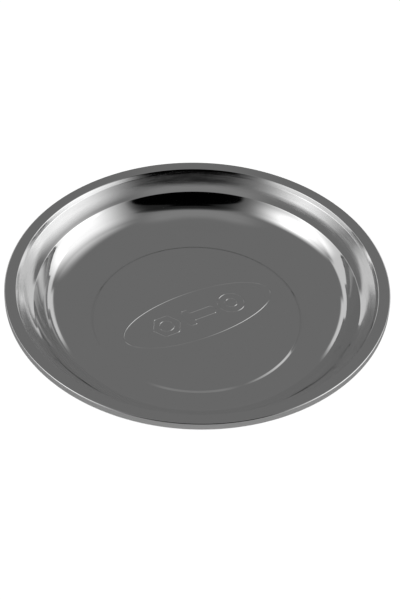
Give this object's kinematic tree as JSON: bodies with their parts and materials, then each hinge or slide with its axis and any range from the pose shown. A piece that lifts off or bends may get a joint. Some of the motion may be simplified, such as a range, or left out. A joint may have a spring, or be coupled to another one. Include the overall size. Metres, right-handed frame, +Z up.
{
  "type": "magnetic parts tray",
  "caption": "Round polished stainless dish with a rolled rim, stepped wall and stamped raised centre, on a rubber-booted magnet base that rests on a flat tread.",
  "frame": {"origin": "centre of the flat face that the tray rests on, under the middle of the rubber boot", "axes": "+Z up through the centre of the dish, +X along the long axis of the stamped oval on the floor, +Y across it"},
  "size_m": [0.15, 0.15, 0.032],
  "materials": {
    "polished_stainless": "polished",
    "stud_steel": "satin",
    "foam": "matte",
    "ferrite": "matte",
    "ring_plastic": "matte",
    "plated_steel": "satin",
    "spring_steel": "satin",
    "boot_rubber": "matte"
  },
  "bodies": {
    "root": {"dish": "polished_stainless", "weld_stud": "stud_steel", "foam_pad": "foam", "ring_magnet": "ferrite", "centring_ring": "ring_plastic", "clamp_cup": "plated_steel", "flat_washer": "plated_steel", "spring_washer": "spring_steel", "jam_nut": "plated_steel", "rubber_boot": "boot_rubber"}
  },
  "joints": []
}
